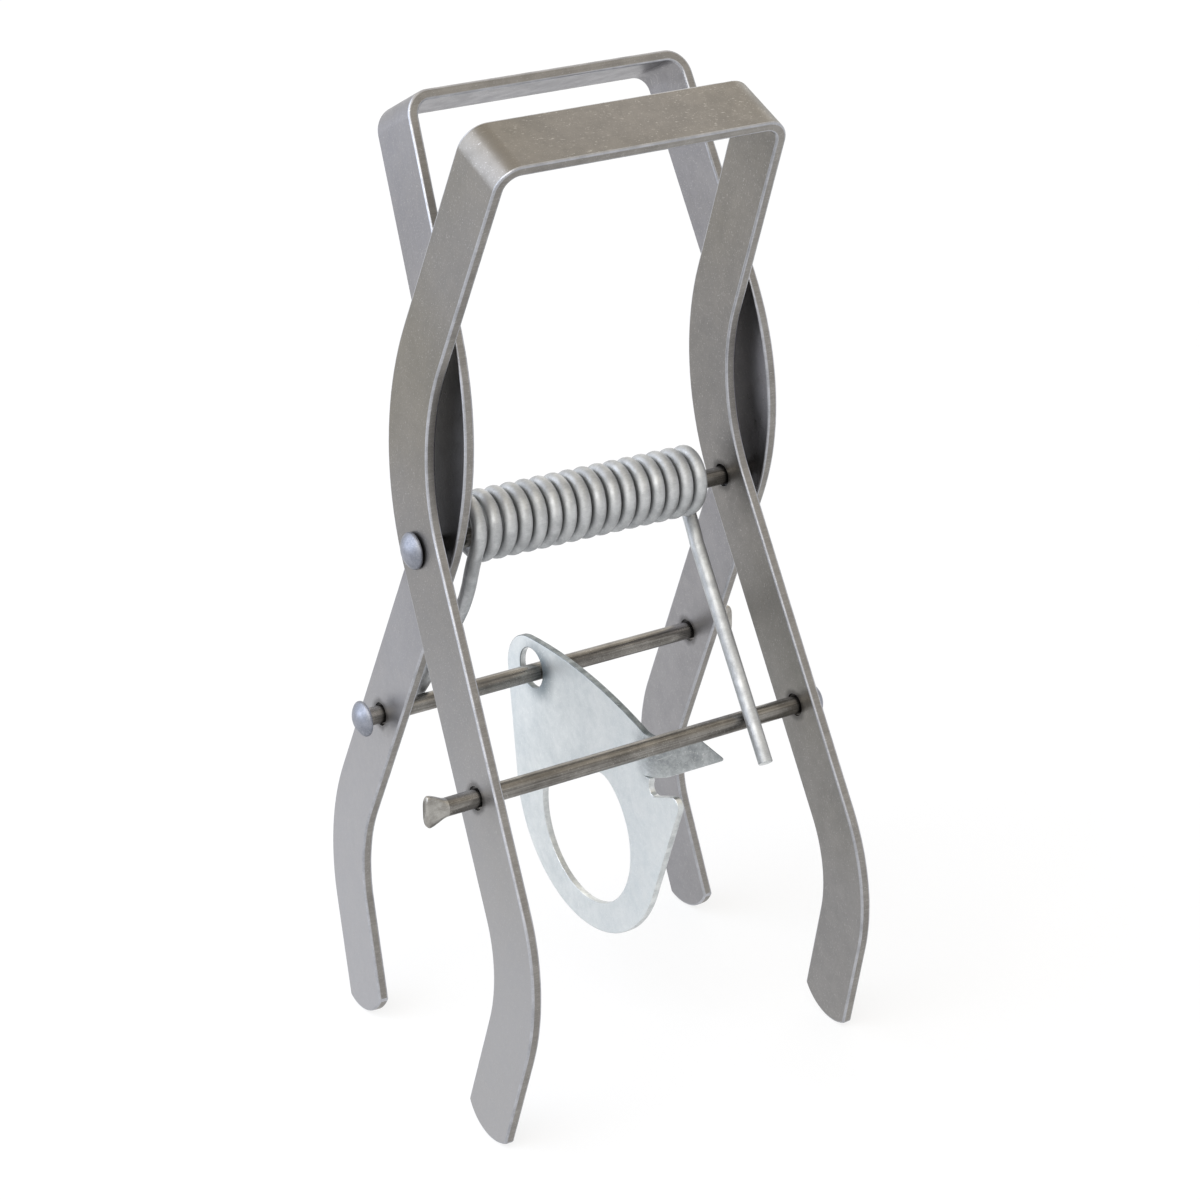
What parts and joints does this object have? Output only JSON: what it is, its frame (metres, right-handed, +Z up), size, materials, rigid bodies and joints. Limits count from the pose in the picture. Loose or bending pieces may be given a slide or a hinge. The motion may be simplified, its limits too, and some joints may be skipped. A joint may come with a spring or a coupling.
{
  "type": "scissor mole trap",
  "caption": "Mole trap of two crossed bent-strip frames on a pivot pin, with a torsion spring, cross rods and a ring-shaped trigger plate that props the jaws open.",
  "frame": {"origin": "middle of the base of the bounding box, on the surface that the four jaw tips stand on", "axes": "+Z up, +X along the pivot pin and rods, -Y towards the front frame's jaws"},
  "size_m": [0.1114, 0.0938, 0.2137],
  "materials": {
    "frame_steel": "bare mill-finished strip steel, dull warm grey",
    "rod_steel": "bare drawn steel rod, darker brownish grey",
    "spring_wire": "bright zinc-plated spring wire",
    "trigger_sheet": "pale bluish zinc-plated sheet"
  },
  "bodies": {
    "front_jaw": {"front_frame": "frame_steel", "spring": "spring_wire"},
    "rear_jaw": {"rear_frame": "frame_steel"},
    "pin": {"pivot_pin": "rod_steel"},
    "front_rod": {"front_cross_rod": "rod_steel"},
    "rear_rod": {"rear_cross_rod": "rod_steel"},
    "trigger": {"trigger_plate": "trigger_sheet"}
  },
  "joints": [
    {"name": "jaw_hinge", "type": "hinge", "parent": "front_jaw", "child": "rear_jaw", "pos_m": [0.00115, 0, 0.12226], "axis": [-1, 0, 0], "range_deg": [-5, 40], "deforming": ["spring"]},
    {"name": "trigger_hinge", "type": "hinge", "parent": "rear_jaw", "child": "trigger", "pos_m": [0.00115, 0.02437, 0.07563], "axis": [1, 0, 0], "range_deg": [-10, 80]},
    {"name": "pin_spin", "type": "hinge", "parent": "front_jaw", "child": "pin", "pos_m": [0.00115, 0, 0.12226], "axis": [1, 0, 0], "continuous": true},
    {"name": "front_rod_spin", "type": "hinge", "parent": "front_jaw", "child": "front_rod", "pos_m": [0.00115, -0.02437, 0.07563], "axis": [1, 0, 0], "continuous": true},
    {"name": "rear_rod_spin", "type": "hinge", "parent": "rear_jaw", "child": "rear_rod", "pos_m": [0.00115, 0.02437, 0.07563], "axis": [1, 0, 0], "continuous": true}
  ],
  "couplings": [
    {"joint": "trigger_hinge", "follows": "jaw_hinge", "ratio": 2}
  ]
}
